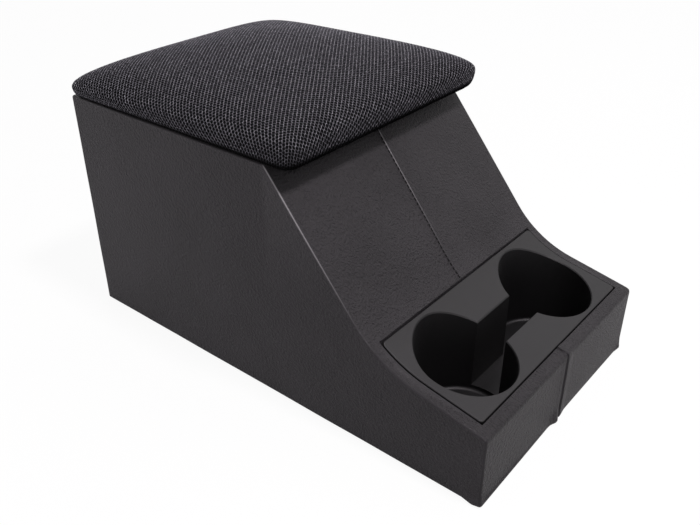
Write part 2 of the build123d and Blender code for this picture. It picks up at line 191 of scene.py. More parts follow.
def spacer_mesh():
    """Black knitted polyester, with painted glints and highlights along the strands' ridges and
    painted shade down in the holes.
    """
    shader = Shader("spacer_mesh", Specular_IOR_Level=0.03)
    fibres = shader.noise(2600.0, 4.0, shader.stretched((1.0, 0.35, 0.6)), 0.7)
    strands = shader.noise(700.0, 3.0)
    # Painted glints: speckled brightness that stands in for the fibres' sparkle
    painted_glints = shader.span(shader.math("MULTIPLY", fibres, strands), 0.12, 0.4, 0.4, 1.0)
    # Painted light and shade: bright along the strands' ridges, dark down the walls into the holes
    painted_ridge_light_hole_shade = shader.span(shader.stored("rise"), 0.22, 0.8, 0.0, 1.0)
    cords = shader.math("MULTIPLY", painted_ridge_light_hole_shade, shader.span(shader.stored("cross"), 0.0, 1.0, 1.0, 0.8))
    tone = shader.math("MULTIPLY", cords, painted_glints)
    # Colours of the painted light and shade: near black in the holes, pale for the glints along the
    # ridges
    stops = [
        (0.0, (0.001, 0.001, 0.0012)),
        (0.25, (0.015, 0.0145, 0.017)),
        (0.6, (0.115, 0.112, 0.127)),
        (0.95, (0.56, 0.543, 0.598)),
    ]
    shader.paint("Base Color", shader.ramp(tone, stops))
    shader.paint("Roughness", shader.span(tone, 0.0, 0.8, 0.8, 0.3))
    shader.relief((strands, 0.0012), (fibres, 0.0006))
    return shader.material


def mesh_backing():
    """Dark inner face of the spacer fabric."""
    shader = Shader("mesh_backing", Specular_IOR_Level=0.2, Roughness=0.9)
    knit = shader.cells(900.0)
    stops = [(0.1, (0.001, 0.001, 0.0012)), (0.7, (0.004, 0.004, 0.005))]
    shader.paint("Base Color", shader.ramp(knit, stops))
    shader.relief((knit, 0.0004))
    return shader.material


def moulded_plastic():
    """Matt moulded plastic with a spark-eroded grain."""
    shader = Shader("tray_plastic", Specular_IOR_Level=0.36, Specular_Tint=(1.0, 0.96, 1.0, 1.0))
    cloud = shader.noise(25.0, 4.0)
    grain = shader.noise(2200.0, 3.0)
    stops = [(0.3, (0.0018, 0.0017, 0.0019)), (0.7, (0.0026, 0.0024, 0.0027))]
    shader.paint("Base Color", shader.ramp(cloud, stops))
    shader.paint("Roughness", shader.span(grain, 0.3, 0.7, 0.42, 0.54))
    shader.relief((grain, 0.00012), (shader.cells(1500.0), 0.00006))
    return shader.material


def carpet():
    """Needle-felt lining."""
    shader = Shader(
        "carpet",
        Specular_IOR_Level=0.15,
        Roughness=0.95,
        Sheen_Weight=0.25,
        Sheen_Roughness=0.6,
    )
    pile = shader.noise(1500.0, 6.0, roughness=0.7)
    tufts = shader.noise(260.0, 4.0)
    fine = shader.math("MULTIPLY", pile, 0.7)
    coarse = shader.math("MULTIPLY", tufts, 0.5)
    tone = shader.math("ADD", fine, coarse)
    stops = [(0.35, (0.006, 0.006, 0.006)), (0.85, (0.05, 0.049, 0.048))]
    shader.paint("Base Color", shader.ramp(tone, stops))
    shader.relief((pile, 0.0012), (tufts, 0.0012))
    return shader.material


def dimpled_cloth():
    """Non-woven cloth with embossed dimples."""
    shader = Shader("base_cloth", Specular_IOR_Level=0.2, Roughness=0.9)
    dimples = shader.cells(420.0, randomness=0.0)
    fibres = shader.noise(1800.0, 5.0)
    stops = [(0.3, (0.006, 0.006, 0.0065)), (0.75, (0.026, 0.026, 0.027))]
    shader.paint("Base Color", shader.ramp(fibres, stops))
    shader.relief((dimples, 0.0005), (fibres, 0.0003))
    return shader.material


def plywood():
    """Birch plywood with grain along Y."""
    shader = Shader("plywood", Specular_IOR_Level=0.3, Roughness=0.6)
    grain = shader.noise(120.0, 6.0, shader.stretched((1.0, 0.06, 1.0)))
    plies = shader.noise(700.0, 2.0, shader.stretched((1.0, 0.02, 1.0)))
    wide = shader.math("MULTIPLY", grain, 0.7)
    narrow = shader.math("MULTIPLY", plies, 0.3)
    tone = shader.math("ADD", wide, narrow)
    stops = [(0.35, (0.36, 0.21, 0.1)), (0.65, (0.58, 0.4, 0.23))]
    shader.paint("Base Color", shader.ramp(tone, stops))
    shader.relief((grain, 0.0003))
    return shader.material


def foam():
    """Open-cell foam."""
    shader = Shader("foam", Specular_IOR_Level=0.1, Roughness=0.95)
    pores = shader.cells(900.0)
    stops = [(0.1, (0.02, 0.02, 0.021)), (0.6, (0.05, 0.05, 0.052))]
    shader.paint("Base Color", shader.ramp(pores, stops))
    shader.relief((pores, 0.0008))
    return shader.material


def rolled_steel(name, colour, rough):
    """Plated steel with fine lines along X."""
    shader = Shader(name, Metallic=1.0, Anisotropic=0.4)
    lines = shader.noise(1400.0, 3.0, shader.stretched((0.02, 1.0, 1.0)))
    cloud = shader.noise(60.0, 4.0)
    darker = tuple(0.8 * value for value in colour)
    shader.paint("Base Color", shader.ramp(cloud, [(0.3, darker), (0.7, colour)]))
    shader.paint("Roughness", shader.span(lines, 0.3, 0.7, rough - 0.08, rough + 0.1))
    shader.relief((lines, 0.00004))
    return shader.material


def sewing_thread():
    """Black bonded thread, twisted."""
    shader = Shader("sewing_thread", Specular_IOR_Level=0.1, Roughness=0.6)
    twist = shader.noise(3000.0, 2.0)
    stops = [(0.3, (0.002, 0.002, 0.002)), (0.7, (0.006, 0.006, 0.0063))]
    shader.paint("Base Color", shader.ramp(twist, stops))
    shader.relief((twist, 0.0002))
    return shader.material


VINYL = leathercloth("leathercloth", (0.025, 0.0233, 0.0252), (0.0388, 0.0362, 0.0391), 2.8)
LID_VINYL = leathercloth("lid_lining", (0.02, 0.0186, 0.0201), (0.033, 0.0308, 0.0332), 1.0)
NET = spacer_mesh()
BACKING = mesh_backing()
PLASTIC = moulded_plastic()
CARPET = carpet()
DIMPLED = dimpled_cloth()
PLY = plywood()
FOAM = foam()
HINGE_STEEL = rolled_steel("hinge_steel", (0.6, 0.6, 0.61), 0.34)
ZINC = rolled_steel("zinc_steel", (0.62, 0.61, 0.58), 0.3)
THREAD = sewing_thread()
FINISHES = {
    "plywood": PLY,
    "leathercloth": VINYL,
    "base_cloth": DIMPLED,
    "lid_lining": LID_VINYL,
    "carpet": CARPET,
    "tray_plastic": PLASTIC,
    "foam": FOAM,
    "spacer_mesh": NET,
    "hinge_steel": HINGE_STEEL,
    "zinc_steel": ZINC,
}
SLOT_OF = {row["node"]: row["material_slot"] for row in frame["record"]["subparts"]}

for node_name, node_object in frame["nodes"].items():
    node_object.data.materials.clear()
    node_object.data.materials.append(FINISHES[SLOT_OF[node_name]])


# Meshes


def add_object(name, mesh, material, smooth_angle=None):
    mesh.materials.clear()
    mesh.materials.append(material)
    mesh.polygons.foreach_set("use_smooth", [True] * len(mesh.polygons))
    if smooth_angle:
        mesh.set_sharp_from_angle(angle=math.radians(smooth_angle))
    mesh.update()
    obj = bpy.data.objects.new(name, mesh)
    bpy.context.scene.collection.objects.link(obj)
    return obj


def mesh_from(name, points, faces):
    mesh = bpy.data.meshes.new(name)
    mesh.from_pydata([tuple(point) for point in points], [], faces)
    mesh.update()
    return mesh


WELD = 1e-6


def gridded(node, cuts):
    """Copy of a CAD node's mesh, cut along planes so that it can bend. cuts has places by axis."""
    mesh = frame["nodes"][node].data.copy()
    work = bmesh.new()
    work.from_mesh(mesh)
    bmesh.ops.remove_doubles(work, verts=work.verts, dist=WELD)
    for axis, places in enumerate(cuts):
        direction = Vector([float(index == axis) for index in range(3)])
        for place in places:
            everything = work.verts[:] + work.edges[:] + work.faces[:]
            bmesh.ops.bisect_plane(
                work,
                geom=everything,
                dist=WELD,
                plane_co=direction * float(place),
                plane_no=direction,
            )
    work.to_mesh(mesh)
    work.free()
    for layer in [a.name for a in mesh.attributes if a.name == "custom_normal"]:
        mesh.attributes.remove(mesh.attributes[layer])
    return mesh


def even_cuts(low, high, pitch):
    count = max(int(round((high - low) / pitch)), 1)
    return list(np.linspace(low, high, count + 1)[1:-1])


def vectors_of(mesh, kind):
    """A vector for each vertex. kind is co for its place, or normal."""
    flat = np.empty(3 * len(mesh.vertices))
    mesh.vertices.foreach_get(kind, flat)
    return flat.reshape(-1, 3)


def mark(mesh, name, values):
    """Stores a value at each vertex for the material."""
    mesh.attributes.new(name, "FLOAT", "POINT").data.foreach_set("value", values)


def put_points(mesh, points):
    mesh.vertices.foreach_set("co", points.ravel())
    mesh.update()


def ease(value, start, end):
    """0 before start, 1 after end, smooth between."""
    share = np.clip((value - start) / (end - start), 0.0, 1.0)
    return share * share * (3.0 - 2.0 * share)


def hump(value, middle, width):
    return np.exp(-(((value - middle) / width) ** 2))


WAVE_COUNT = 6
WAVE_LENGTHS = (0.045, 0.12)


def waves(first, second, seed):
    """Slow, uneven undulation from -1 to 1 over two coordinates in metres."""
    total = np.zeros_like(first)
    rng = np.random.default_rng(seed)
    for _ in range(WAVE_COUNT):
        turn = rng.uniform(0, 2 * math.pi)
        length = rng.uniform(*WAVE_LENGTHS)
        phase = rng.uniform(0, 2 * math.pi)
        along = first * math.cos(turn) + second * math.sin(turn)
        total += np.sin(2 * math.pi * along / length + phase)
    return total / WAVE_COUNT


def steady(obj):
    """Keeps flat faces flat in the shading."""
    modifier = obj.modifiers.new("flat_faces", "WEIGHTED_NORMAL")
    modifier.keep_sharp = True


# The two halves of the leathercloth


COVER_LOW, COVER_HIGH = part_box("left_cover")
FRONT_Y = COVER_LOW.y
WIDTH_HALF = -COVER_LOW.x
RIM_Z = COVER_HIGH.z
DECK = math.radians(11.25)
SLOPE = math.radians(50.1)
BEND_FROM, BEND_TO = FRONT_Y + 57.5 * MM, FRONT_Y + 113.5 * MM
BEND_RADIUS = 98.0 * MM
SLOPE_TOP_Y = FRONT_Y + 197.0 * MM
TRAY_REAR_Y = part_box("cup_holder_tray")[1].y
RAIL_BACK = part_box("cup_holder_tray")[0].y
RAIL_TOP = 63.5 * MM
RAIL_RADIUS = 3.4 * MM
BOARD_RADIUS = 2.0 * MM
# Points along the seam, and how far aside of the middle it runs there
SEAM_Y = [FRONT_Y, FRONT_Y + 0.02, FRONT_Y + 0.1, SLOPE_TOP_Y]
SEAM_X = [0.0006, 0.0006, -0.0004, 0.0035]
# The covering is pulled aside up to this far from its seam, and only above this height
SEAM_PULL = 0.06
SEAM_FROM_Z = 0.02
SLOPE_FROM_Z = 0.05
# Within this distance of the slope's top, its seam and unevenness fade out
SLOPE_FADE = 0.004
SLOPE_WAVE = 0.18 * MM
FRONT_SAG = 0.22 * MM
SIDE_WAVE = 0.2 * MM
# How far the hem bunches out: by the seam, and on the front and the side at each front corner
SEAM_BUNCH = 2.3 * MM
CORNER_BUNCH = 1.3 * MM
SIDE_BUNCH = 1.6 * MM
# Points of the front move fully up to the first depth, and not past the second
FRONT_MOVES, FRONT_STAYS = 0.0006, 0.0025
# The seam's lap lifts the front's top edge, from the first height to the full amount at the second
BROW_FROM_Z, BROW_TO_Z = 0.0615, 0.0632
# A pale painted highlight runs along the slope's side edges, from the first height to the full
# amount at the second
HIGHLIGHT_FROM_Z, HIGHLIGHT_TO_Z = 0.085, 0.2
HIGHLIGHT_TURN, HIGHLIGHT_TURN_WIDTH = 0.72, 0.16


def pitch_at(y):
    """Angle of the ramp at y."""
    return DECK + (SLOPE - DECK) * np.clip((y - BEND_FROM) / (BEND_TO - BEND_FROM), 0.0, 1.0)


def seam_x(y):
    """The slope's seam runs a little askew; the front's is nearly straight."""
    return np.interp(y, SEAM_Y, SEAM_X)


def slope_ridge(aside):
    """Height of the slope's seam, by distance from its line."""
    return MM * (
        0.6 * hump(aside, 0.75 * MM, 0.6 * MM)
        + 0.2 * hump(aside, 2.6 * MM, 1.8 * MM)
        - 0.3 * hump(aside, -0.25 * MM, 0.35 * MM)
    )


def front_ridge(aside):
    """Height of the front's seam: the right half laps over the left."""
    lap = ease(aside, -0.3 * MM, 0.35 * MM) * (1.0 - ease(aside, 1.5 * MM, 12.0 * MM))
    groove = hump(aside, -0.7 * MM, 0.8 * MM)
    swell = hump(aside, -5.0 * MM, 3.0 * MM)
    return MM * (1.05 * lap - 0.45 * groove + 0.4 * swell)


def rounder_edge(depth, below):
    """How far the front's top edge moves in. depth and below are distances from its two faces."""
    across = np.abs(depth - below)

    def arc(radius):
        curve = 2 * radius - np.sqrt(np.maximum(2 * radius**2 - across**2, radius**2))
        return np.where(across < radius, curve, across) / math.sqrt(2)

    return arc(RAIL_RADIUS) - arc(BOARD_RADIUS)


def moved_cover(points):
    """The skin pulled askew at its seams, lapped and puckered."""
    x, y, z = points.T.copy()
    near = np.clip(1.0 - np.abs(x) / SEAM_PULL, 0.0, 1.0)
    moved = points.copy()
    moved[:, 0] += seam_x(y) * near * (z > SEAM_FROM_Z)
    aside = moved[:, 0] - seam_x(y)

    # The slope: its seam and a slight unevenness, square to its face
    on_slope = (z > SLOPE_FROM_Z) & (y > TRAY_REAR_Y) & (y < SLOPE_TOP_Y + SLOPE_FADE)
    pitch = pitch_at(y)
    lift = slope_ridge(aside) + SLOPE_WAVE * waves(x, y, seed=3)
    fading = 1.0 - ease(y, SLOPE_TOP_Y - SLOPE_FADE, SLOPE_TOP_Y + SLOPE_FADE)
    lift = np.where(on_slope, lift, 0.0) * fading
    moved[:, 1] -= lift * np.sin(pitch)
    moved[:, 2] += lift * np.cos(pitch)

    # The front: a rounder top edge, the lapped seam, a slight sag and a bunched hem
    on_front = y < RAIL_BACK
    depth = y - FRONT_Y
    below = (RAIL_TOP + depth * math.tan(DECK) - z) * math.cos(DECK)
    on_edge = on_front & (depth + below < 3 * RAIL_RADIUS)
    inward = np.where(on_edge, rounder_edge(depth, below), 0.0)
    moved[:, 1] += inward / math.sqrt(2)
    moved[:, 2] -= inward / math.sqrt(2)
    forward = 1.0 - ease(y, FRONT_Y + FRONT_MOVES, FRONT_Y + FRONT_STAYS)
    upward = ease(z, BROW_FROM_Z, BROW_TO_Z)
    lap = np.where(on_front, front_ridge(aside), 0.0)
    lap = np.where(inward > 0.0, np.maximum(lap, 0.0), lap)
    sag = np.where(on_front, FRONT_SAG * waves(x, z, seed=5), 0.0)
    seam_bunch = SEAM_BUNCH * hump(x, -6.5 * MM, 4.5 * MM) * hump(z, 2.5 * MM, 6.0 * MM)
    by_corner = hump(np.abs(x), WIDTH_HALF - 2 * MM, 5.0 * MM)
    by_floor = hump(z, 1.5 * MM, 4.5 * MM)
    corner_bunch = CORNER_BUNCH * by_corner * by_floor
    moved[:, 1] -= forward * np.where(on_front, lap + sag + seam_bunch + corner_bunch, 0.0)
    moved[:, 2] += upward * lap

    # The sides: unevenness of their outer face, and the hem bunched near the front
    side = ease(np.abs(x), WIDTH_HALF - 1.2 * MM, WIDTH_HALF - 0.95 * MM)
    side_bunch = SIDE_BUNCH * hump(y, FRONT_Y + 6 * MM, 5.0 * MM) * by_floor
    moved[:, 0] += np.sign(x) * side * (SIDE_WAVE * waves(y, z, seed=7) + side_bunch)
    return moved


def cover_cuts(node):
    """Where a half is cut: finely at its seam and the front's top edge, wider elsewhere."""
    low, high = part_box(node)
    outward = np.sign(low.x + high.x)
    steps = (np.arange(0.4, 4.1, 0.4), np.arange(4.8, 9.0, 0.8), np.arange(10.5, 20.0, 2.5))
    by_seam = [outward * place for place in np.concatenate(steps) * MM]
    across = by_seam + even_cuts(0.02 * outward, 0.118 * outward, 0.009)
    rail = [low.y + place * MM for place in np.arange(0.5, 9.0, 0.5)]
    along = rail + even_cuts(low.y + 0.009, high.y - 0.003, 0.006)
    brow = [RAIL_TOP - place * MM for place in np.arange(0.5, 6.0, 0.5)]
    up = [1.5 * MM, 3.0 * MM, 4.5 * MM] + brow + even_cuts(6 * MM, high.z - 0.003, 0.006)
    return across, along, up


def make_cover(node, name):
    mesh = gridded(node, cover_cuts(node))
    put_points(mesh, moved_cover(vectors_of(mesh, "co")))
    turned = np.abs(vectors_of(mesh, "normal")[:, 0])
    # An edge is where the skin has turned part of the way to the side
    edge = ease(turned, 0.2, 0.5) * (1.0 - ease(turned, 0.9, 0.995))
    mark(mesh, "edge", edge)
    _, y, z = vectors_of(mesh, "co").T
    # Painted highlight: a pale colour on the slope's side edges where the skin has turned part of
    # the way, up the slope and short of its top
    before_top = 1.0 - ease(y, SLOPE_TOP_Y - 2 * MM, SLOPE_TOP_Y + 2 * MM)
    up_the_slope = ease(z, HIGHLIGHT_FROM_Z, HIGHLIGHT_TO_Z) * before_top
    mark(mesh, "painted_highlight", hump(turned, HIGHLIGHT_TURN, HIGHLIGHT_TURN_WIDTH) * up_the_slope)
    obj = add_object(name, mesh, VINYL, smooth_angle=50)
    steady(obj)
    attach(obj, "box")
    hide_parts(node)


make_cover("left_cover", "left_leathercloth")
make_cover("right_cover", "right_leathercloth")


# Stitches along the slope's seam


STITCH_FROM, STITCH_TO = TRAY_REAR_Y + 2.2 * MM, SLOPE_TOP_Y - 3 * MM
STITCH_LENGTH = 1.9 * MM
STITCH_PITCH = 4.0 * MM
STITCH_ASIDE = -0.7 * MM
STITCH_LIFT = 0.2 * MM
THREAD_RADIUS = 0.48 * MM


def capsule(start, end, radius, around=8, rings=3, tip=0.02):
    """Points and faces of a thread with round ends."""
    start, end = Vector(start), Vector(end)
    along = (end - start).normalized()
    aside = along.cross(Vector((0.0, 0.0, 1.0))).normalized()
    other = along.cross(aside)
    rows = []
    for step in range(rings + 1):
        angle = math.pi / 2 * (1 - step / rings)
        rows.append((start - along * radius * math.sin(angle), radius * math.cos(angle)))
    for step in range(rings + 1):
        angle = math.pi / 2 * step / rings
        rows.append((end + along * radius * math.sin(angle), radius * math.cos(angle)))
    points = []
    for middle, size in rows:
        for index in range(around):
            turn = 2 * math.pi * index / around
            outward = aside * math.cos(turn) + other * math.sin(turn)
            points.append(middle + outward * max(size, radius * tip))
    faces = []
    for row in range(len(rows) - 1):
        for index in range(around):
            after = (index + 1) % around
            first, second = row * around, (row + 1) * around
            faces.append((first + index, first + after, second + after, second + index))
    faces.append(tuple(range(around - 1, -1, -1)))
    faces.append(tuple(range(len(points) - around, len(points))))
    return points, faces


def ramp_height(y):
    """Height of the leathercloth's ramp at y, on the bend or the slope."""
    bend_end_z = RIM_Z - (SLOPE_TOP_Y - BEND_TO) * math.tan(SLOPE)
    if y >= BEND_TO:
        return RIM_Z - (SLOPE_TOP_Y - y) * math.tan(SLOPE)
    middle_y = BEND_TO - BEND_RADIUS * math.sin(SLOPE)
    middle_z = bend_end_z + BEND_RADIUS * math.cos(SLOPE)
    return middle_z - math.sqrt(BEND_RADIUS**2 - (y - middle_y) ** 2)


def make_stitches():
    points, faces = [], []
    lift = float(slope_ridge(np.array(STITCH_ASIDE))) + STITCH_LIFT
    y = STITCH_FROM
    while y < STITCH_TO:
        pitch = float(pitch_at(np.array(y)))
        ends = [
            (
                float(seam_x(place)) + STITCH_ASIDE,
                place - lift * math.sin(pitch),
                ramp_height(place) + lift * math.cos(pitch),
            )
            for place in (y, y + STITCH_LENGTH * math.cos(pitch))
        ]
        more, cells = capsule(*ends, THREAD_RADIUS)
        faces += [tuple(index + len(points) for index in cell) for cell in cells]
        points += more
        y += STITCH_PITCH * math.cos(pitch)
    obj = add_object("slope_stitches", mesh_from("slope_stitches", points, faces), THREAD)
    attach(obj, "box")


make_stitches()


# The lid's cushion under its knitted mesh


# The pad's own sizes are in mm
LID_LOW, LID_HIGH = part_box("lid_cover")
PAD_HALF_WIDTH = LID_HIGH.x / MM
PAD_HALF_LENGTH = (LID_HIGH.y - LID_LOW.y) / 2 / MM
PAD_MIDDLE = (LID_HIGH.y + LID_LOW.y) / 2 / MM
PAD_BASE = LID_LOW.z / MM
PAD_WIDEST = 219.5
PAD_CROWN = 30.4
PAD_FULLNESS = 0.93
PAD_CORNER = 9.6
PAD_ROUNDNESS = 1.86
PAD_UNDERCUT = 4.8
PAD_TILT = math.radians(1.4)
PAD_CORE = 10.0
UNDERSIDE = 56.0
UNDERSIDE_DEPTH = 2.7
TOP_ROWS = 90
SIDE_ROWS = 30
# Smallest corner as a share of the distance from the core, so that its power stays finite
LEAST_CORNER = 0.05
# Share of the way to the diagonal from which rows draw in towards the corner
CORNER_FROM = 0.3
LAYING_ROUNDS = 40


def pad_profile():
    """Path length, distance from the core, height and share of the tilt, crown to underside."""
    rows = []
    steepest = math.acos((PAD_CORE / PAD_HALF_WIDTH) ** (1 / PAD_FULLNESS))
    for angle in np.linspace(steepest, 0.0, TOP_ROWS):
        out = PAD_HALF_WIDTH * math.cos(angle) ** PAD_FULLNESS - PAD_CORE
        rows.append((out, PAD_WIDEST + PAD_CROWN * math.sin(angle), 1.0))
    for angle in np.linspace(math.pi / 2, 0.0, SIDE_ROWS)[1:]:
        rise = 1 - math.cos(angle)
        out = PAD_HALF_WIDTH - PAD_CORE - PAD_UNDERCUT * (1 - math.sin(angle))
        rows.append((out, PAD_BASE + (PAD_WIDEST - PAD_BASE) * rise, rise))
    foot = len(rows) - 1
    rows.append((rows[-1][0] - UNDERSIDE, PAD_BASE, 0.0))
    rows = np.array(rows)
    steps = np.hypot(np.diff(rows[:, 0]), np.diff(rows[:, 1]))
    path = np.concatenate([[0.0], np.cumsum(steps)])
    return path, rows, path[foot]


PAD_PATH, PAD_ROWS, PAD_FOOT = pad_profile()
PAD_REACH = PAD_PATH[-1]
CORE = np.array([PAD_CORE, PAD_CORE + PAD_HALF_LENGTH - PAD_HALF_WIDTH])
TOP_PATH, TOP_OUT = PAD_PATH[:TOP_ROWS], PAD_ROWS[:TOP_ROWS, 0]
TOP_EDGE = 0.9 * TOP_PATH[-1]


def beyond_core(flat):
    """How far points of the flat cloth lie past the pad's core, in each direction."""
    return np.maximum(np.abs(flat) - CORE, 0.0)


def flat_path(flat):
    """How far along the pad's profile points of the flat cloth lie, in mm from its core."""
    return (beyond_core(flat) ** 4).sum(1) ** 0.25


def corner_power(out, upper):
    """Power of the pad's outline at a distance from the core: 2 is an ellipse, more is squarer."""
    inset = PAD_HALF_WIDTH - PAD_CORE - out
    left = (out + PAD_CORE) / PAD_HALF_WIDTH
    corner = np.where(upper, left * (PAD_CORNER + PAD_ROUNDNESS * inset), PAD_CORNER)
    share = np.clip(corner / np.maximum(out, 1e-6), LEAST_CORNER, 1.0)
    return -math.log(2) / np.log(1 - (1 - math.sqrt(0.5)) * share)


def rounded(unit, power):
    """Size of directions on an outline of a given power."""
    return np.maximum((unit ** power[:, None]).sum(1) ** (1 / power), 1e-9)


def laid(flat):
    """Points of the flat cloth, eased aside so that its rows run straight over the pad's top."""
    beyond = beyond_core(flat)
    longest = np.maximum(beyond.max(1), 1e-6)[:, None]
    on_top = np.minimum(longest, TOP_EDGE)
    towards_corner = np.clip((beyond / longest - CORNER_FROM) / (1.0 - CORNER_FROM), 0.0, 1.0)
    target = np.interp(beyond * (on_top / longest) ** towards_corner, TOP_PATH, TOP_OUT)
    furthest = np.maximum(target.max(1), 1e-6)
    unit = target / furthest[:, None]
    out = furthest
    for _ in range(LAYING_ROUNDS):
        nearer = furthest * rounded(unit, corner_power(np.minimum(out, TOP_OUT[-1]), True))
        out = (out + nearer) / 2
    over_edge = np.maximum(out - TOP_OUT[-1], 0.0) + (longest - on_top)[:, 0]
    path = np.interp(out, TOP_OUT, TOP_PATH) + over_edge
    reach = path / (unit**4).sum(1) ** 0.25
    return np.sign(flat) * (np.minimum(np.abs(flat), CORE) + unit * reach[:, None])


def pad_points(flat):
    """Where points of the flat cloth lie on the pad, in mm. flat is from the pad's middle."""
    beyond = beyond_core(flat)
    unit = beyond / np.maximum(beyond.max(1), 1e-6)[:, None]
    path = flat_path(flat)
    out, height, tilt = (np.interp(path, PAD_PATH, row) for row in PAD_ROWS.T)
    power = corner_power(out, path < TOP_PATH[-1])
    place = np.minimum(np.abs(flat), CORE) + unit / rounded(unit, power)[:, None] * out[:, None]
    place *= np.sign(flat)
    height = height - place[:, 1] * math.sin(PAD_TILT) * tilt
    return np.column_stack([place[:, 0], place[:, 1] + PAD_MIDDLE, height])


def pad_normals(flat, step=0.4):
    """Outward directions of the pad at points of the flat cloth."""
    side = np.array([step, 0.0])
    end = np.array([0.0, step])
    first = pad_points(flat + side) - pad_points(flat - side)
    second = pad_points(flat + end) - pad_points(flat - end)
    normal = np.cross(first, second)
    return normal / np.maximum(np.linalg.norm(normal, axis=1), 1e-12)[:, None]


def over(node, places, margin):
    """Which places lie within a margin of a node's outline, seen from below."""
    low, high = (np.array(corner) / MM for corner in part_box(node))
    x, y, z = places.T
    across = (x > low[0] - margin) & (x < high[0] + margin)
    along = (y > low[1] - margin) & (y < high[1] + margin)
    return across & along & (z < PAD_BASE + UNDERSIDE_DEPTH)


NET_X, NET_Y = 4.69, 3.6
HOLE = 0.57
HOLE_STRETCH = np.array([1.02, 1.0])
HOLE_DEPTH = 0.45
STRAND_RISE = 0.2
# How uneven the knit is: hole sizes as a share, the rest in mm
UNEVEN_SIZE, UNEVEN_HOLE, UNEVEN_STRAND, UNEVEN_RISE = 0.05, 0.05, 0.04, 0.04
# By side of a hole: 1 for the strands that run one way across, which are a little darker
CROSSING_SIDES = [1.0, 0.0, 0.0, 1.0, 0.0, 0.0]
# The net stops short of the cloth's end, reaches in under the lining and clears the hinge
NET_MARGIN = 2.0
NET_UNDER_LINING = 2.0
HINGE_CLEARANCE = 1.6
# Painted shade darkens the strands round the pad's foot, where the hem turns under the lid's edge:
# where that starts, is full, fades and ends
HEM_START, HEM_FULL, HEM_FADE, HEM_END = -8.0, -3.0, 1.0, 6.0
HEM_SHADE = 0.75
KNIT_SEED = 11


def make_net():
    """Knitted mesh: six-sided holes on a centred lattice, with rounded strands between them."""
    reach = PAD_REACH + CORE.max()
    columns = np.arange(-int(2 * reach / NET_X), int(2 * reach / NET_X) + 1)
    lines = np.arange(-int(2 * reach / NET_Y), int(2 * reach / NET_Y) + 1)
    grid_x, grid_y = np.meshgrid(columns, lines)
    chosen = (grid_x + grid_y) % 2 == 0
    centres = np.column_stack([grid_x[chosen] * NET_X / 2, grid_y[chosen] * NET_Y / 2])
    centres = centres[flat_path(laid(centres)) < PAD_REACH - NET_MARGIN]
    places = pad_points(laid(centres))
    lined = over("lid_lining", places, -NET_UNDER_LINING)
    hinged = over("hinge_upper_leaf", places, HINGE_CLEARANCE)
    centres = centres[~lined & ~hinged]

    tip = (NET_X**2 + NET_Y**2) / (4 * NET_X)
    shoulder = (NET_X**2 - NET_Y**2) / (4 * NET_X)
    half = NET_Y / 2
    outline = np.array(
        [
            (tip, 0),
            (shoulder, half),
            (-shoulder, half),
            (-tip, 0),
            (-shoulder, -half),
            (shoulder, -half),
        ]
    )
    outer = (centres[:, None, :] + outline[None]).reshape(-1, 2)
    shared, index = np.unique(np.round(outer, 3), axis=0, return_inverse=True)
    index = index.reshape(-1, 6)
    rng = np.random.default_rng(KNIT_SEED)
    size = HOLE * (1 + UNEVEN_SIZE * rng.standard_normal((len(centres), 1, 1)))
    shift = UNEVEN_HOLE * rng.standard_normal((len(centres), 1, 2))
    holes = centres[:, None, :] + shift + outline[None] * size * HOLE_STRETCH
    inner = laid(holes.reshape(-1, 2))

    shared = laid(shared + UNEVEN_STRAND * rng.standard_normal(shared.shape))
    rise = STRAND_RISE + UNEVEN_RISE * rng.standard_normal((len(shared), 1))
    top = pad_points(shared) + pad_normals(shared) * rise
    brink = pad_points(inner) - pad_normals(inner) * HOLE_DEPTH
    points = np.concatenate([top, brink]) * MM
    inside = len(shared) + np.arange(len(inner)).reshape(-1, 6)
    faces = []
    for corner in range(6):
        after = (corner + 1) % 6
        sides = index[:, corner], index[:, after], inside[:, after], inside[:, corner]
        faces.append(np.column_stack(sides))
    faces = np.concatenate(faces)
    mesh = mesh_from("lid_mesh", points, faces.tolist())
    along = flat_path(shared)
    hem_start = ease(along, PAD_FOOT + HEM_START, PAD_FOOT + HEM_FULL)
    hem_end = ease(along, PAD_FOOT + HEM_FADE, PAD_FOOT + HEM_END)
    # Painted shade: the strands are dimmed round the pad's foot
    strands = 1.0 - HEM_SHADE * (hem_start - hem_end)
    # rise holds the strands' painted brightness, and 0 at the holes' brinks, where the material
    # paints shade
    mark(mesh, "rise", np.concatenate([strands, np.zeros(len(brink))]))
    crossing = np.repeat(CROSSING_SIDES, len(centres))
    mesh.attributes.new("cross", "FLOAT", "FACE").data.foreach_set("value", crossing)
    obj = add_object("lid_mesh", mesh, NET)
    area = len(centres) * NET_X * NET_Y / 2 * MM * MM
    return obj, area


CUSHION_CELL = 4.0
CUSHION_DEPTH = 1.4
CUSHION_MARGIN = 0.5
CUSHION_UNDER_LINING = 5.0


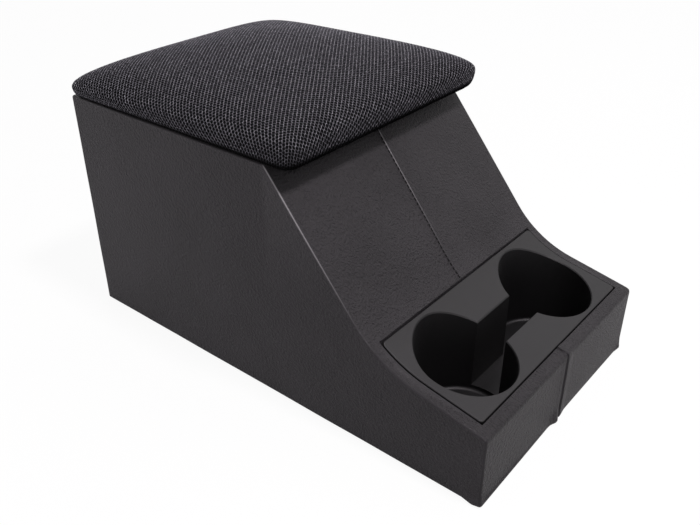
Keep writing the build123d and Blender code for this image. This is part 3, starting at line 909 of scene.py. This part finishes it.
def make_cushion():
    """Foam body and the inner face of the mesh, just under the strands."""
    reach = PAD_REACH + CORE
    count_x, count_y = (int(2 * value / CUSHION_CELL) for value in reach)
    across = np.linspace(-reach[0], reach[0], count_x + 1)
    along = np.linspace(-reach[1], reach[1], count_y + 1)
    flat = np.array([(x, y) for y in along for x in across])
    places = pad_points(flat) - pad_normals(flat) * CUSHION_DEPTH
    wide = count_x + 1
    lined = over("lid_lining", places, -CUSHION_UNDER_LINING)
    usable = (flat_path(flat) < PAD_REACH - CUSHION_MARGIN) & ~lined
    faces = []
    for row in range(count_y):
        for column in range(count_x):
            first = row * wide + column
            cell = (first, first + 1, first + wide + 1, first + wide)
            if all(usable[corner] for corner in cell):
                faces.append(cell)
    used = sorted({corner for cell in faces for corner in cell})
    new = {old: number for number, old in enumerate(used)}
    renumbered = [tuple(new[corner] for corner in cell) for cell in faces]
    mesh = mesh_from("lid_cushion", places[used] * MM, renumbered)
    return add_object("lid_cushion", mesh, BACKING)


cushion = make_cushion()
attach(cushion, "lid")
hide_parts("lid_foam")
net, net_area = make_net()
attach(net, "lid")
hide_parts("lid_cover")


# Felt linings and the cloth under the base


FELT_CELL = 7 * MM
FELT_WAVE = 0.12 * MM


def soften(node, name, plane, seed):
    """Copy of a thin sheet with an uneven face. plane has the two axes that it is wavy along."""
    low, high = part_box(node)
    cuts = [even_cuts(low[axis], high[axis], FELT_CELL) for axis in range(3)]
    mesh = gridded(node, cuts)
    points = vectors_of(mesh, "co")
    depth = FELT_WAVE * waves(points[:, plane[0]], points[:, plane[1]], seed)
    points += vectors_of(mesh, "normal") * depth[:, None]
    points[:, 2] = np.maximum(points[:, 2], low.z)
    put_points(mesh, points)
    obj = add_object(name, mesh, FINISHES[SLOT_OF[node]], smooth_angle=40)
    steady(obj)
    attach(obj, "box")
    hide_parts(node)


for order, (lining, plane, board) in enumerate(
    (
        ("floor_lining", (0, 1), "base_panel"),
        ("left_lining", (1, 2), "left_side_panel"),
        ("right_lining", (1, 2), "right_side_panel"),
        ("rear_lining", (0, 2), "rear_panel"),
    )
):
    felt = lining.replace("lining", "felt")
    soften(lining, felt, plane, seed=20 + order)
soften("front_lining", "front_felt", (0, 2), seed=24)
soften("base_cloth", "underside_cloth", (0, 1), seed=25)


# Floor, light and camera


FLOOR_HALF = 6
FLOOR_DROP = 0.0005
# The floor's glow, from near the middle to far out, and its share to the eye and in reflections
GLOW_FROM, GLOW_TO = 0.5, 3.0
GLOW_NEAR, GLOW_FAR = 1.03, 1.08
GLOW_SEEN, GLOW_REFLECTED = 0.9, 0.25
FLOOR_DULL = (0.34, 0.34, 0.34, 1.0)
WORLD_FILL = 0.15
CAMERA_PLACE = (-0.4815, -0.38934, 0.44168)
CAMERA_TURN, CAMERA_RISE = math.radians(-50.89), math.radians(31.33)
SENSOR_WIDTH, LENS = 36.0, 41.09
# Name, place, what it points at, size, power and colour
LAMPS = (
    ("above_front", (-0.04, -0.62, 1.5), (0.0, -0.05, 0.15), (0.2, 0.2), 15.8, (1.0, 0.96, 0.98)),
    ("right_front", (0.95, -0.88, 1.08), (0.0, -0.05, 0.1), (1.2, 1.0), 3.0, (1.0, 0.96, 0.95)),
    ("overhead", (0.72, 0.5, 1.4), (0.0, 0.0, 0.1), (1.5, 1.5), 6.0, (0.99, 0.96, 1.0)),
    ("camera_side", (-1.0, -0.8, 0.86), (0.0, -0.05, 0.1), (0.16, 0.16), 2.2, (1.0, 0.98, 1.0)),
    ("left_rear", (-1.1, 0.75, 0.15), (0.0, 0.1, 0.1), (0.6, 0.2), 5.4, (1.0, 0.97, 1.0)),
)


def area_light(name, place, target, size, power, colour):
    data = bpy.data.lights.new(name, "AREA")
    data.shape = "RECTANGLE"
    data.size, data.size_y = size
    data.energy = power
    data.color = colour
    obj = bpy.data.objects.new(name, data)
    obj.location = place
    obj.rotation_euler = (Vector(target) - Vector(place)).to_track_quat("-Z", "Y").to_euler()
    bpy.context.scene.collection.objects.link(obj)


def sees_white(tree):
    """1 for the rays that show the background: straight to the camera, reflected or refracted."""
    ray = tree.nodes.new("ShaderNodeLightPath")
    share = ray.outputs["Is Camera Ray"]
    for name in ("Is Glossy Ray", "Is Transmission Ray"):
        node = tree.nodes.new("ShaderNodeMath")
        node.operation = "MAXIMUM"
        tree.links.new(share, node.inputs[0])
        tree.links.new(ray.outputs[name], node.inputs[1])
        share = node.outputs["Value"]
    return share


def make_floor():
    """White floor that throws little light back. Its shadow is faint, and fuller in reflections."""
    half = FLOOR_HALF
    corners = [(-half, -half, 0), (half, -half, 0), (half, half, 0), (-half, half, 0)]
    mesh = mesh_from("floor", corners, [(0, 1, 2, 3)])
    shader = Shader("floor", Roughness=0.9, Specular_IOR_Level=0.0)
    speckle = shader.noise(300.0, 3.0)
    stops = [(0.3, (0.8, 0.8, 0.8)), (0.7, (0.82, 0.82, 0.82))]
    shader.paint("Base Color", shader.ramp(speckle, stops))
    tree = shader.tree
    distance = shader.node(
        "ShaderNodeVectorMath", {"operation": "LENGTH"}, Vector=shader.coordinates
    )
    glow = shader.node("ShaderNodeEmission", Color=(1.0, 1.0, 1.0, 1.0))
    far = distance.outputs["Value"]
    brightness = shader.span(far, GLOW_FROM, GLOW_TO, GLOW_NEAR, GLOW_FAR)
    tree.links.new(brightness, glow.inputs["Strength"])
    ray = shader.node("ShaderNodeLightPath")
    share = shader.span(ray.outputs["Is Camera Ray"], 0.0, 1.0, GLOW_REFLECTED, GLOW_SEEN)
    seen = shader.node("ShaderNodeMixShader", Fac=share)
    dull = shader.node("ShaderNodeBsdfDiffuse", Color=FLOOR_DULL)
    both = shader.node("ShaderNodeMixShader", Fac=sees_white(tree))
    tree.links.new(shader.surface.outputs["BSDF"], seen.inputs[1])
    tree.links.new(glow.outputs["Emission"], seen.inputs[2])
    tree.links.new(dull.outputs["BSDF"], both.inputs[1])
    tree.links.new(seen.outputs["Shader"], both.inputs[2])
    tree.links.new(both.outputs["Shader"], tree.nodes["Material Output"].inputs["Surface"])
    obj = add_object("floor", mesh, shader.material)
    obj.location.z = -FLOOR_DROP


def make_world():
    """White to the camera and in reflections, and a low even fill as light."""
    world = bpy.data.worlds.new("studio")
    world.use_nodes = True
    tree = world.node_tree
    tree.nodes.clear()
    light = tree.nodes.new("ShaderNodeBackground")
    light.inputs["Color"].default_value = (1.0, 0.965, 1.0, 1.0)
    light.inputs["Strength"].default_value = WORLD_FILL
    white = tree.nodes.new("ShaderNodeBackground")
    white.inputs["Color"].default_value = (1.0, 1.0, 1.0, 1.0)
    white.inputs["Strength"].default_value = 1.0
    mix = tree.nodes.new("ShaderNodeMixShader")
    out = tree.nodes.new("ShaderNodeOutputWorld")
    tree.links.new(sees_white(tree), mix.inputs["Fac"])
    tree.links.new(light.outputs["Background"], mix.inputs[1])
    tree.links.new(white.outputs["Background"], mix.inputs[2])
    tree.links.new(mix.outputs["Shader"], out.inputs["Surface"])
    bpy.context.scene.world = world


def make_camera():
    data = bpy.data.cameras.new("camera")
    data.sensor_width = SENSOR_WIDTH
    data.lens = LENS
    data.clip_start = 0.01
    obj = bpy.data.objects.new("camera", data)
    obj.location = CAMERA_PLACE
    level = math.cos(CAMERA_RISE)
    back = Vector(
        (math.sin(CAMERA_TURN) * level, -math.cos(CAMERA_TURN) * level, math.sin(CAMERA_RISE))
    )
    obj.rotation_euler = back.to_track_quat("Z", "Y").to_euler()
    bpy.context.scene.collection.objects.link(obj)
    bpy.context.scene.camera = obj


make_floor()
make_world()
make_camera()
for lamp in LAMPS:
    area_light(*lamp)
bpy.context.scene.view_settings.view_transform = "Standard"
